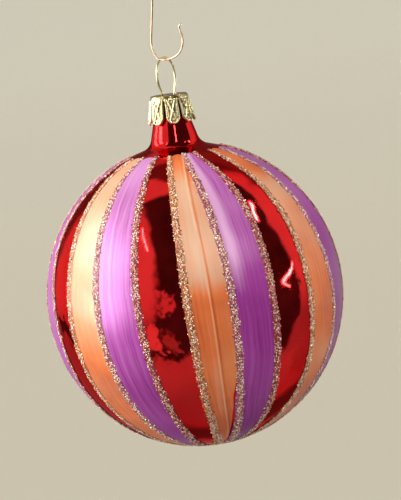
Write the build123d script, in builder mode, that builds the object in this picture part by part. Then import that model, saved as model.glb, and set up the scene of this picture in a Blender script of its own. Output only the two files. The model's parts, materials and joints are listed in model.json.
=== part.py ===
from build123d import *
import os
from math import acos, cos, degrees, radians, sin, sqrt

# A blown glass ball ornament with its cap, its wire hanger and its hook.
# Millimetres. +Z is up, along the axis of the ball and its neck. The origin is
# the hang point, the underside of the hook's upper bend.

# ------------------------------------------------------------------ the ball
ball_z = -112.0  # centre of the ball, below the hang point
glass_r = 39.9  # outer radius of the glass at its widest
glass_h = 41.1  # from the centre to the pole, a little long, as blown balls are
wall = 0.6  # glass wall
shoulder_r = 11.5  # radius where the shoulder runs into the ball
rim_h = 54.3  # top of the neck, above the ball's centre
neck_r = 4.5  # neck, outer radius at its rim
neck_taper = 0.03  # growth of the neck's radius per mm down
foot_h = 48.8  # where the neck begins to flare
flare_taper = 0.275  # growth of the flare's radius per mm down
foot_round = 8.0  # concave round at the neck's foot
crease_round = 3.6  # concave round where the neck meets the ball

# ----------------------------------------------------------------- its coats
lining_gap, lining_t = 0.02, 0.03  # mirror coat inside the glass
lining_top = 53.4
lacquer_gap, lacquer_t = 0.02, 0.06  # red lacquer outside the glass
lacquer_top = 52.0
paint_gap, paint_t = 0.10, 0.06  # painted bands, over the lacquer
band_top_r, band_foot_r = 12.4, 2.6  # where the bands begin and end, from the axis
band_side = 0.15  # from a band's edge to the middle of its border line
bead_gap, bead_t = 0.18, 0.34  # raised glitter lines, over the bands
bead_half = 0.95  # half the width of a line
bead_foot_r, bead_foot_half = 2.3, 0.22  # a line's end near the lower pole
bead_narrow_r = 8.6  # inside this radius the lines narrow

# Azimuths of the border lines, in degrees from -Y towards +X. Seven repeats of
# red, orange and purple, painted by hand, so the front ones are uneven.
front_lines = [-72.0, -57.1, -40.2, -22.1, -3.1, 13.6, 30.4, 48.9, 65.1]
back_count = 12
back_step = (360.0 + front_lines[0] - front_lines[-1]) / (back_count + 1)
lines = front_lines + [
    front_lines[-1] + back_step * (n + 1) for n in range(back_count)
]

# ------------------------------------------------------------------- the cap
cap_top = 54.65  # above the ball's centre
cap_t = 0.25  # sheet thickness
cap_r = 5.05  # radius at the top
cap_flare = 0.142  # growth of the skirt's radius per mm down
cap_round = 0.6
tab_end = 46.9  # lower end of the tabs, above the ball's centre
tab_count = 8
tab_first = 5.0  # azimuth of the first tab's middle, from -Y towards +X
slot_long, slot_wide = 2.0, 1.2  # slots for the hanger's legs

# ------------------------------------------------------------ hanger and hook
hanger_turn = 55.0  # direction of the loop's plane, from +X towards +Y
hanger_wire_r = 0.3
loop_top = 64.6  # middle of the wire at the loop's top, above the ball's centre
leg_s = 2.75  # from the axis to each leg in the cap
prong_s = 3.42  # from the axis to each leg where it bears on the neck
hook_turn = hanger_turn - 90.0
hook_wire_r = 0.25
hook_gap = 0.03  # between the loop's wire and the hook's wire
bend_r = 6.5  # upper bend of the hook, middle of the wire

loop_z = ball_z + loop_top
hook_z = loop_z - hanger_wire_r - hook_wire_r - hook_gap  # the hook's lowest wire


# The neck's outline is three straight lines with concave rounds between them,
# and the ball's is an ellipse. Each coat follows the same outline, moved inward
# by d, or outward where d is negative.
def outline(d, top_h):
    """Neck points from the top down to the ball, and the ball's semi-axes and angle."""
    a, b = glass_r - d, glass_h - d
    join_r = shoulder_r * a / glass_r
    join_h = b * sqrt(1 - (join_r / a) ** 2)
    slope = -((b / a) ** 2) * join_r / join_h
    neck_0 = neck_r - d * sqrt(1 + neck_taper**2) + rim_h * neck_taper
    foot_r = neck_r + (rim_h - foot_h) * neck_taper
    flare_0 = foot_r - d * sqrt(1 + flare_taper**2) + foot_h * flare_taper
    h_foot = (flare_0 - neck_0) / (flare_taper - neck_taper)
    h_crease = (join_h + slope * (flare_0 - join_r)) / (1 + slope * flare_taper)
    points = [
        (neck_0 - top_h * neck_taper, top_h),
        (neck_0 - h_foot * neck_taper, h_foot),
        (flare_0 - h_crease * flare_taper, h_crease),
        (join_r, join_h),
    ]
    return points, a, b, degrees(acos(join_r / a))


axial = Plane(origin=(0, 0, ball_z), x_dir=(1, 0, 0), z_dir=(0, -1, 0))


def azimuth(phi):
    """A turn about the ball's axis that takes +X to the azimuth phi."""
    return Location((0, 0, 0), (0, 0, phi - 90.0))


# ---------------------------------------------------------------- glass_ball
outer, a_o, b_o, t_o = outline(0.0, rim_h)
inner, a_i, b_i, t_i = outline(wall, rim_h)
with BuildPart() as glass_ball:
    with BuildSketch(axial):
        with BuildLine():
            FilletPolyline(*outer, radius=[foot_round, crease_round])
            EllipticalCenterArc((0, 0), a_o, b_o, start_angle=-90, arc_size=90 + t_o)
            Line((0, -b_o), (0, -b_i))
            EllipticalCenterArc((0, 0), a_i, b_i, start_angle=-90, arc_size=90 + t_i)
            FilletPolyline(*inner, radius=[foot_round + wall, crease_round + wall])
            Line(inner[0], outer[0])
        make_face()
    revolve(axis=Axis.Z)
glass_ball.part.label = "glass_ball"

# ------------------------------------------------------------- silver_lining
near = wall + lining_gap
far = near + lining_t
outer, a_o, b_o, t_o = outline(near, lining_top)
inner, a_i, b_i, t_i = outline(far, lining_top)
with BuildPart() as silver_lining:
    with BuildSketch(axial):
        with BuildLine():
            FilletPolyline(*outer, radius=[foot_round + near, crease_round + near])
            EllipticalCenterArc((0, 0), a_o, b_o, start_angle=-90, arc_size=90 + t_o)
            Line((0, -b_o), (0, -b_i))
            EllipticalCenterArc((0, 0), a_i, b_i, start_angle=-90, arc_size=90 + t_i)
            FilletPolyline(*inner, radius=[foot_round + far, crease_round + far])
            Line(inner[0], outer[0])
        make_face()
    revolve(axis=Axis.Z)
silver_lining.part.label = "silver_lining"

# --------------------------------------------------------------- red_lacquer
near = -lacquer_gap
far = -lacquer_gap - lacquer_t
outer, a_o, b_o, t_o = outline(far, lacquer_top)
inner, a_i, b_i, t_i = outline(near, lacquer_top)
with BuildPart() as red_lacquer:
    with BuildSketch(axial):
        with BuildLine():
            FilletPolyline(*outer, radius=[foot_round + far, crease_round + far])
            EllipticalCenterArc((0, 0), a_o, b_o, start_angle=-90, arc_size=90 + t_o)
            Line((0, -b_o), (0, -b_i))
            EllipticalCenterArc((0, 0), a_i, b_i, start_angle=-90, arc_size=90 + t_i)
            FilletPolyline(*inner, radius=[foot_round + near, crease_round + near])
            Line(inner[0], outer[0])
        make_face()
    revolve(axis=Axis.Z)
red_lacquer.part.label = "red_lacquer"


# -------------------------------------------------- orange_bands, purple_bands
def gore(start, end):
    """Plan of one band between two border lines, as a polygon about the axis."""
    middle, half = (start + end) / 2 - 90.0, radians((end - start) / 2)
    points = []
    for side in (1, -1):
        for reach in (band_foot_r, 48.0):
            # a point on the ray of this side, moved in from the border line
            x = reach * cos(half) + band_side * sin(half)
            y = side * (reach * sin(half) - band_side * cos(half))
            points.append((x, y))
    points[2], points[3] = points[3], points[2]
    turn = radians(middle)
    return [
        (x * cos(turn) - y * sin(turn), x * sin(turn) + y * cos(turn))
        for x, y in points
    ]


ends = lines + [lines[0] + 360.0]
orange_gores = [gore(ends[n], ends[n + 1]) for n in range(1, len(lines), 3)]
purple_gores = [gore(ends[n], ends[n + 1]) for n in range(2, len(lines), 3)]

low, high = paint_gap, paint_gap + paint_t
a_o, b_o, a_i, b_i = glass_r + high, glass_h + high, glass_r + low, glass_h + low
with BuildPart() as orange_bands:
    with BuildSketch(axial):
        with BuildLine():
            top_o, foot_o = degrees(acos(band_top_r / a_o)), degrees(acos(band_foot_r / a_o))
            top_i, foot_i = degrees(acos(band_top_r / a_i)), degrees(acos(band_foot_r / a_i))
            side_o = EllipticalCenterArc((0, 0), a_o, b_o, start_angle=-foot_o, arc_size=foot_o + top_o)
            side_i = EllipticalCenterArc((0, 0), a_i, b_i, start_angle=-foot_i, arc_size=foot_i + top_i)
            Line(side_o @ 0, side_i @ 0)
            Line(side_o @ 1, side_i @ 1)
        make_face()
    revolve(axis=Axis.Z)
    with BuildSketch(Plane.XY.offset(ball_z - 50.0)):
        for corners in orange_gores:
            Polygon(*corners, align=None)
    extrude(amount=100.0, mode=Mode.INTERSECT)
orange_bands.part.label = "orange_bands"

with BuildPart() as purple_bands:
    with BuildSketch(axial):
        with BuildLine():
            side_o = EllipticalCenterArc((0, 0), a_o, b_o, start_angle=-foot_o, arc_size=foot_o + top_o)
            side_i = EllipticalCenterArc((0, 0), a_i, b_i, start_angle=-foot_i, arc_size=foot_i + top_i)
            Line(side_o @ 0, side_i @ 0)
            Line(side_o @ 1, side_i @ 1)
        make_face()
    revolve(axis=Axis.Z)
    with BuildSketch(Plane.XY.offset(ball_z - 50.0)):
        for corners in purple_gores:
            Polygon(*corners, align=None)
    extrude(amount=100.0, mode=Mode.INTERSECT)
purple_bands.part.label = "purple_bands"

# ------------------------------------------------------------- glitter_lines
low, high = bead_gap, bead_gap + bead_t
a_o, b_o, a_i, b_i = glass_r + high, glass_h + high, glass_r + low, glass_h + low
with BuildPart() as glitter_lines:
    with BuildSketch(axial):
        with BuildLine():
            top_o, foot_o = degrees(acos(band_top_r / a_o)), degrees(acos(bead_foot_r / a_o))
            top_i, foot_i = degrees(acos(band_top_r / a_i)), degrees(acos(bead_foot_r / a_i))
            side_o = EllipticalCenterArc((0, 0), a_o, b_o, start_angle=-foot_o, arc_size=foot_o + top_o)
            side_i = EllipticalCenterArc((0, 0), a_i, b_i, start_angle=-foot_i, arc_size=foot_i + top_i)
            Line(side_o @ 0, side_i @ 0)
            Line(side_o @ 1, side_i @ 1)
        make_face()
    revolve(axis=Axis.Z)
    with BuildSketch(Plane.XY.offset(ball_z - 50.0)):
        with Locations(*[azimuth(phi) for phi in lines]):
            Polygon(
                (bead_foot_r - 0.2, -bead_foot_half),
                (bead_narrow_r, -bead_half),
                (48.0, -bead_half),
                (48.0, bead_half),
                (bead_narrow_r, bead_half),
                (bead_foot_r - 0.2, bead_foot_half),
                align=None,
            )
    extrude(amount=100.0, mode=Mode.INTERSECT)
glitter_lines.part.label = "glitter_lines"

# ----------------------------------------------------------------------- cap
skirt_r = cap_r + (cap_top - tab_end) * cap_flare
with BuildPart() as cap:
    with BuildSketch(axial):
        with BuildLine():
            FilletPolyline(
                (0, cap_top), (cap_r, cap_top), (skirt_r, tab_end), radius=[cap_round]
            )
            Line((skirt_r, tab_end), (skirt_r - cap_t, tab_end))
            FilletPolyline(
                (skirt_r - cap_t, tab_end),
                (cap_r - cap_t + cap_t * cap_flare, cap_top - cap_t),
                (0, cap_top - cap_t),
                radius=[cap_round - cap_t],
            )
            Line((0, cap_top - cap_t), (0, cap_top))
        make_face()
    revolve(axis=Axis.Z)
    # gaps between the tabs: slits above, open wedges below, and cut tab corners
    for n in range(tab_count):
        turn = radians(tab_first + (n + 0.5) * 360.0 / tab_count - 90.0)
        out = (cos(turn), sin(turn), 0)
        side = (-sin(turn), cos(turn), 0)
        with BuildSketch(Plane(origin=(0, 0, ball_z), x_dir=side, z_dir=out)):
            Polygon(
                (-0.12, cap_top - 1.5),
                (-0.28, cap_top - 3.4),
                (-0.62, tab_end + 1.0),
                (-1.75, tab_end - 0.3),
                (1.75, tab_end - 0.3),
                (0.62, tab_end + 1.0),
                (0.28, cap_top - 3.4),
                (0.12, cap_top - 1.5),
                align=None,
            )
        extrude(amount=9.0, mode=Mode.SUBTRACT)
    with BuildSketch(Plane.XY.offset(ball_z + cap_top - 2.0)):
        turn = radians(hanger_turn)
        with Locations(
            Location((leg_s * cos(turn), leg_s * sin(turn), 0), (0, 0, hanger_turn)),
            Location((-leg_s * cos(turn), -leg_s * sin(turn), 0), (0, 0, hanger_turn)),
        ):
            SlotOverall(slot_long, slot_wide)
    extrude(amount=4.0, mode=Mode.SUBTRACT)
cap.part.label = "cap"

# --------------------------------------------------------------- hanger_wire
turn = radians(hanger_turn)
hanger_plane = Plane(
    origin=(0, 0, loop_z),
    x_dir=(cos(turn), sin(turn), 0),
    z_dir=(sin(turn), -cos(turn), 0),
)
with BuildPart() as hanger_wire:
    with BuildLine(hanger_plane) as hanger_path:
        # loop: a tight top, full sides, and legs that lean in to the cap
        top = JernArc((0, 0), (1, 0), 4.0, -70.0)
        flank = JernArc(top @ 1, top % 1, 7.0, -42.0)
        lean = Line(
            flank @ 1,
            (flank @ 1) + (flank % 1) * 2.226,
        )
        knee = JernArc(lean @ 1, lean % 1, 1.2, 22.0)
        # leg: straight through the neck's rim, out to the bore, in at its end
        foot = hanger_plane.to_local_coords(knee @ 1)
        FilletPolyline(
            (foot.X, foot.Y),
            (foot.X, foot.Y - 2.6),
            (prong_s, foot.Y - 6.2),
            (prong_s, foot.Y - 13.0),
            (prong_s - 0.7, foot.Y - 17.0),
            radius=[3.0, 3.0, 3.0],
        )
        mirror(about=Plane(origin=(0, 0, loop_z), z_dir=(cos(turn), sin(turn), 0)))
    wire = hanger_path.wire()
    with BuildSketch(Plane(origin=wire @ 0, z_dir=wire % 0)):
        Circle(hanger_wire_r)
    sweep(path=wire)
hanger_wire.part.label = "hanger_wire"

# ---------------------------------------------------------------------- hook
turn = radians(hook_turn)
hook_plane = Plane(
    origin=(0, 0, hook_z),
    x_dir=(cos(turn), sin(turn), 0),
    z_dir=(sin(turn), -cos(turn), 0),
)
bend_h = hook_wire_r - bend_r - hook_z  # centre of the upper bend, over the hook's foot
with BuildPart() as hook:
    with BuildLine(hook_plane) as hook_path:
        # the lower bend holds the loop on a short straight foot
        foot = Line((-0.6, 0), (0.6, 0))
        # short arm, with its end turned out
        rise = JernArc((0.6, 0), (1, 0), 9.0, 22.0)
        bulge = JernArc(rise @ 1, rise % 1, 4.8, 82.0)
        arm = Line(bulge @ 1, (bulge @ 1) + (bulge % 1) * 1.8)
        lip = JernArc(arm @ 1, arm % 1, 0.8, -62.0)
        Line(lip @ 1, (lip @ 1) + (lip % 1) * 0.5)
        # long arm: up the other side and across the axis to the upper bend
        turn_up = JernArc((-0.6, 0), (-1, 0), 2.2, -62.0)
        lean = JernArc(turn_up @ 1, turn_up % 1, 7.0, -39.0)
        start = hook_plane.to_local_coords(lean @ 1)
        one, two = radians(79.0), radians(72.0)
        meet = (bend_r * sin(two), bend_h - bend_r * cos(two))
        run = (
            (meet[0] - start.X) * sin(two) - (meet[1] - start.Y) * cos(two)
        ) / sin(two - one)
        FilletPolyline(
            (start.X, start.Y),
            (start.X + run * cos(one), start.Y + run * sin(one)),
            meet,
            radius=[30.0],
        )
        upper = JernArc(meet, (cos(two), sin(two)), bend_r, 200.0)
        drop = Line(upper @ 1, (upper @ 1) + (upper % 1) * 3.0)
        curl = JernArc(drop @ 1, drop % 1, 1.2, -55.0)
        Line(curl @ 1, (curl @ 1) + (curl % 1) * 0.5)
    wire = hook_path.wire()
    with BuildSketch(Plane(origin=wire @ 0, z_dir=wire % 0)):
        Circle(hook_wire_r)
    sweep(path=wire)
hook.part.label = "hook"

# --------------------------------------------------------------------- files
os.makedirs("parts", exist_ok=True)
export_step(glass_ball.part, "parts/glass_ball.step")
export_step(silver_lining.part, "parts/silver_lining.step")
export_step(red_lacquer.part, "parts/red_lacquer.step")
export_step(orange_bands.part, "parts/orange_bands.step")
export_step(purple_bands.part, "parts/purple_bands.step")
export_step(glitter_lines.part, "parts/glitter_lines.step")
export_step(cap.part, "parts/cap.step")
export_step(hanger_wire.part, "parts/hanger_wire.step")
export_step(hook.part, "parts/hook.step")
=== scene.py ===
import json
import math

import bmesh
import bpy
import numpy as np
from mathutils import Matrix, Vector

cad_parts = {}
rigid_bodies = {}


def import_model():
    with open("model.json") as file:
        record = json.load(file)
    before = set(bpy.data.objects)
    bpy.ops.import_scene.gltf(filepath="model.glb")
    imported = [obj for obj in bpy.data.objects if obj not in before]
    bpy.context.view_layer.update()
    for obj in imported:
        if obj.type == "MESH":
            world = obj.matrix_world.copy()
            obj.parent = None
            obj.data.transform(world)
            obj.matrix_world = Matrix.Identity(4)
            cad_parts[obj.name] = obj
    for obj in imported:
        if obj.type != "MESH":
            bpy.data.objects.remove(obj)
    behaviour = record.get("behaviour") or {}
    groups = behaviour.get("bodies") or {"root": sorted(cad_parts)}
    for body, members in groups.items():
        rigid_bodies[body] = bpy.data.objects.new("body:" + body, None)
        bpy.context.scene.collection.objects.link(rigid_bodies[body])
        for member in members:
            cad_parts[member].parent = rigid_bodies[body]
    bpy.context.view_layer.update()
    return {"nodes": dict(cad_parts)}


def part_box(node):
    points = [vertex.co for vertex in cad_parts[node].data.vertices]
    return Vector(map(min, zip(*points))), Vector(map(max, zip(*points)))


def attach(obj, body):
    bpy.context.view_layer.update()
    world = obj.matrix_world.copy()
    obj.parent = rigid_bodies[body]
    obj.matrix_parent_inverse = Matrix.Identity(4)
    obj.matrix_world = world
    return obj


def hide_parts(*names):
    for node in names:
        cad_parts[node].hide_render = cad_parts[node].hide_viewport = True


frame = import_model()
scene = bpy.context.scene
nodes = frame["nodes"]
MM = 0.001
BALL_Z = -112.0
A, B = 39.9, 41.1  # semi-axes of the glass, mm


# ------------------------------------------------------------------ mesh tools
def mesh_object(name, verts, groups, smooth=True, materials=(), slots=None, uv=None):
    """groups: arrays of faces with 3 or 4 columns. verts in mm. slots: material index per face."""
    verts = np.asarray(verts, np.float64) * MM
    loops = np.concatenate([g.ravel() for g in groups]).astype(np.int32)
    totals = np.concatenate(
        [np.full(len(g), g.shape[1], np.int32) for g in groups]
    )
    starts = np.concatenate([[0], np.cumsum(totals)[:-1]]).astype(np.int32)
    me = bpy.data.meshes.new(name)
    me.vertices.add(len(verts))
    me.vertices.foreach_set("co", verts.astype(np.float32).ravel())
    me.loops.add(len(loops))
    me.loops.foreach_set("vertex_index", loops)
    me.polygons.add(len(totals))
    me.polygons.foreach_set("loop_start", starts)
    me.polygons.foreach_set("loop_total", totals)
    if slots is not None:
        me.polygons.foreach_set("material_index", np.asarray(slots, np.int32))
    me.polygons.foreach_set("use_smooth", np.full(len(totals), smooth, bool))
    for m in materials:
        me.materials.append(m)
    if uv is not None:
        layer = me.uv_layers.new(name="flow")
        layer.data.foreach_set("uv", np.asarray(uv, np.float32)[loops].ravel())
    me.update(calc_edges=True)
    me.validate()
    ob = bpy.data.objects.new(name, me)
    scene.collection.objects.link(ob)
    return ob


def grid_quads(rows, cols, wrap=False, flip=False, base=0):
    """Quads of a rows x cols grid of vertices numbered row by row."""
    r = np.arange(rows - 1)[:, None]
    c = np.arange(cols if wrap else cols - 1)[None, :]
    n = (c + 1) % cols
    q = np.stack(
        [r * cols + c, r * cols + n, (r + 1) * cols + n, (r + 1) * cols + c], -1
    ).reshape(-1, 4)
    q = q + base
    return q[:, ::-1].copy() if flip else q


def waves(seed, count, low, high):
    """A smooth function of one variable, about -1 to 1, made of a few sines."""
    g = np.random.default_rng(seed)
    f = g.uniform(low, high, count)
    p = g.uniform(0, 2 * np.pi, count)
    a = g.uniform(0.5, 1.0, count) / count * 1.6

    def value(x):
        x = np.asarray(x, float)
        return sum(a[i] * np.sin(f[i] * x + p[i]) for i in range(count))

    return value


# ------------------------------------------------------------- material tools
class Nodes:
    def __init__(self, name):
        self.mat = bpy.data.materials.new(name)
        self.mat.use_nodes = True
        self.tree = self.mat.node_tree
        self.bsdf = self.tree.nodes["Principled BSDF"]

    def new(self, kind, **sets):
        n = self.tree.nodes.new(kind)
        for k, v in sets.items():
            setattr(n, k, v)
        return n

    def put(self, **values):
        names = {
            "base": "Base Color", "metal": "Metallic", "rough": "Roughness", "ior": "IOR",
            "coat": "Coat Weight", "coat_rough": "Coat Roughness", "sheen": "Sheen Weight",
            "aniso": "Anisotropic", "spec": "Specular IOR Level", "trans": "Transmission Weight",
            "coat_ior": "Coat IOR", "sheen_rough": "Sheen Roughness",
        }
        for k, v in values.items():
            s = self.bsdf.inputs[names[k]]
            s.default_value = (*v, 1.0) if isinstance(v, (tuple, list)) else v

    def link(self, a, b):
        self.tree.links.new(a, b)

    def coords(self, kind="Object", scale=(1, 1, 1)):
        tc = self.new("ShaderNodeTexCoord")
        mp = self.new("ShaderNodeMapping")
        mp.inputs["Scale"].default_value = scale
        self.link(tc.outputs[kind], mp.inputs["Vector"])
        return mp.outputs["Vector"]

    def uv(self, scale=(1, 1, 1)):
        u = self.new("ShaderNodeUVMap", uv_map="flow")
        mp = self.new("ShaderNodeMapping")
        mp.inputs["Scale"].default_value = scale
        self.link(u.outputs["UV"], mp.inputs["Vector"])
        return mp.outputs["Vector"]

    def noise(self, vector, scale=1.0, detail=3.0, rough=0.5, distortion=0.0):
        n = self.new("ShaderNodeTexNoise")
        n.inputs["Scale"].default_value = scale
        n.inputs["Detail"].default_value = detail
        n.inputs["Roughness"].default_value = rough
        n.inputs["Distortion"].default_value = distortion
        self.link(vector, n.inputs["Vector"])
        return n.outputs["Fac"]

    def ramp(self, fac, stops):
        r = self.new("ShaderNodeValToRGB")
        els = r.color_ramp.elements
        while len(els) < len(stops):
            els.new(0.5)
        for e, (p, c) in zip(els, stops):
            e.position = p
            e.color = (*c, 1.0) if len(c) == 3 else c
        self.link(fac, r.inputs["Fac"])
        return r.outputs["Color"]

    def remap(self, value, lo, hi, to_lo, to_hi, smooth=False):
        m = self.new("ShaderNodeMapRange")
        if smooth:
            m.interpolation_type = "SMOOTHSTEP"
        for k, v in zip(("From Min", "From Max", "To Min", "To Max"), (lo, hi, to_lo, to_hi)):
            m.inputs[k].default_value = v
        self.link(value, m.inputs["Value"])
        return m.outputs["Result"]

    def math(self, op, a, b=0.0):
        m = self.new("ShaderNodeMath", operation=op)
        for i, v in enumerate((a, b)):
            if isinstance(v, (int, float)):
                m.inputs[i].default_value = v
            else:
                self.link(v, m.inputs[i])
        return m.outputs["Value"]

    def dot(self, v):
        m = self.new("ShaderNodeVectorMath", operation="DOT_PRODUCT")
        self.link(v, m.inputs[0])
        self.link(v, m.inputs[1])
        return m.outputs["Value"]

    def attr(self, name):
        a = self.new("ShaderNodeAttribute", attribute_name=name)
        return a.outputs["Fac"]

    def mix(self, fac, a, b, blend="MIX"):
        m = self.new("ShaderNodeMix", data_type="RGBA", blend_type=blend)
        if isinstance(fac, (int, float)):
            m.inputs["Factor"].default_value = fac
        else:
            self.link(fac, m.inputs["Factor"])
        for s, v in ((m.inputs[6], a), (m.inputs[7], b)):
            if isinstance(v, (tuple, list)):
                s.default_value = (*v, 1.0) if len(v) == 3 else v
            else:
                self.link(v, s)
        return m.outputs[2]

    def bump(self, height, strength=0.5, distance=0.00005, normal=None):
        b = self.new("ShaderNodeBump")
        b.inputs["Strength"].default_value = strength
        b.inputs["Distance"].default_value = distance
        self.link(height, b.inputs["Height"])
        if normal is not None:
            self.link(normal, b.inputs["Normal"])
        return b.outputs["Normal"]

    def to(self, out, name):
        self.link(out, self.bsdf.inputs[name])


# -------------------------------------------------------------------- camera
cam_data = bpy.data.cameras.new("camera")
cam_data.lens = 216.0
cam_data.sensor_width = 36.0
cam_data.sensor_fit = "AUTO"
cam_data.clip_start, cam_data.clip_end = 0.01, 50.0
cam = bpy.data.objects.new("camera", cam_data)
scene.collection.objects.link(cam)
cx, cy, cz = (0.991217, -0.014765, -0.131429), (0.132255, 0.110662, 0.985019), (0.0, -0.993749, 0.111643)
place = (0.002997, -0.809176, -0.009504)
cam.matrix_world = Matrix(
    [[cx[i], cy[i], cz[i], place[i]] for i in range(3)] + [[0, 0, 0, 1]]
)
scene.camera = cam
scene.view_settings.view_transform = "Standard"


# ---------------------------------------------------------- stage and lights
def bowl():
    floor_z, r_floor, cove, top = -240.0, 3600.0, 900.0, 3000.0
    prof = [(r, floor_z) for r in np.linspace(0, r_floor, 24)[1:]]
    for t in np.linspace(0, 90, 18)[1:]:
        prof.append((r_floor + cove * math.sin(math.radians(t)),
                     floor_z + cove * (1 - math.cos(math.radians(t)))))
    prof.append((r_floor + cove, top))
    prof = np.array(prof)
    seg = 128
    a = np.arange(seg) * 2 * np.pi / seg
    v = np.stack([prof[:, 0:1] * np.sin(a), prof[:, 0:1] * np.cos(a),
                  np.repeat(prof[:, 1:2], seg, 1)], -1).reshape(-1, 3)
    v = np.vstack([v, [[0, 0, floor_z]]])
    q = grid_quads(len(prof), seg, wrap=True)
    fan = np.stack([np.full(seg, len(v) - 1), (np.arange(seg) + 1) % seg, np.arange(seg)], -1)
    n = Nodes("stage_paper")
    n.put(rough=0.85, spec=0.2)
    c = n.noise(n.coords("Object", (1, 1, 1)), 1.2, 3.0)
    near = n.ramp(c, [(0.3, (0.485, 0.450, 0.355)), (0.7, (0.51, 0.475, 0.375))])
    far = n.remap(n.math("SQRT", n.dot(n.coords("Object"))), 1.0, 4.6, 0.0, 1.0)
    n.to(n.mix(far, near, (1.0, 0.97, 0.82)), "Base Color")
    # the lamps light the model alone; the paper gets the even light of the room and this painted glow, strong near the
    # model and faint far off
    n.to(n.mix(far, (0.30, 0.275, 0.215), (0.045, 0.045, 0.038)), "Emission Color")
    n.bsdf.inputs["Emission Strength"].default_value = 1.0
    ob = mesh_object("stage_floor", v, [q, fan], True, [n.mat])
    ob.visible_glossy = False
    ob.visible_diffuse = False
    ob.visible_shadow = False
    ob.visible_transmission = False


bowl()


def direction(az, el):
    """Unit vector; azimuth 0 is towards the viewer (-Y), + towards +X."""
    az, el = math.radians(az), math.radians(el)
    return Vector((math.sin(az) * math.cos(el), -math.cos(az) * math.cos(el), math.sin(el)))


def softbox(name, az, el, dist, w, h, radiance, color):
    data = bpy.data.lights.new(name, "AREA")
    data.shape = "RECTANGLE"
    data.size, data.size_y = w, h
    data.energy = radiance * math.pi * w * h
    data.color = color
    ob = bpy.data.objects.new(name, data)
    scene.collection.objects.link(ob)
    d = direction(az, el)
    ob.location = Vector((0, 0, BALL_Z * MM)) + d * dist
    ob.rotation_mode = "QUATERNION"
    ob.rotation_quaternion = d.to_track_quat("Z", "Y")
    ob.visible_camera = False
    return ob


key_front = softbox("key_softbox_front", -77, 15, 1.7, 0.52, 1.66, 8.6, (1.0, 0.98, 0.95))
key_rear = softbox("key_softbox_rear", -110, 19, 1.7, 0.50, 1.45, 7.4, (1.0, 0.98, 0.95))
strip_middle = softbox("strip_middle", 9, 33, 1.7, 0.10, 0.75, 22.0, (1.0, 0.97, 0.93))
strip_right = softbox("strip_right", 43, 33, 1.7, 0.42, 0.80, 5.2, (1.0, 0.97, 0.95))
top = softbox("top_softbox", -50, 72, 1.9, 0.9, 0.7, 2.0, (1.0, 0.98, 0.95))
top.visible_glossy = False
sheen = softbox("key_sheen", -77, 15, 1.7, 1.22, 1.45, 13.5, (0.97, 0.98, 1.0))
sheen.visible_diffuse = False


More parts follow.
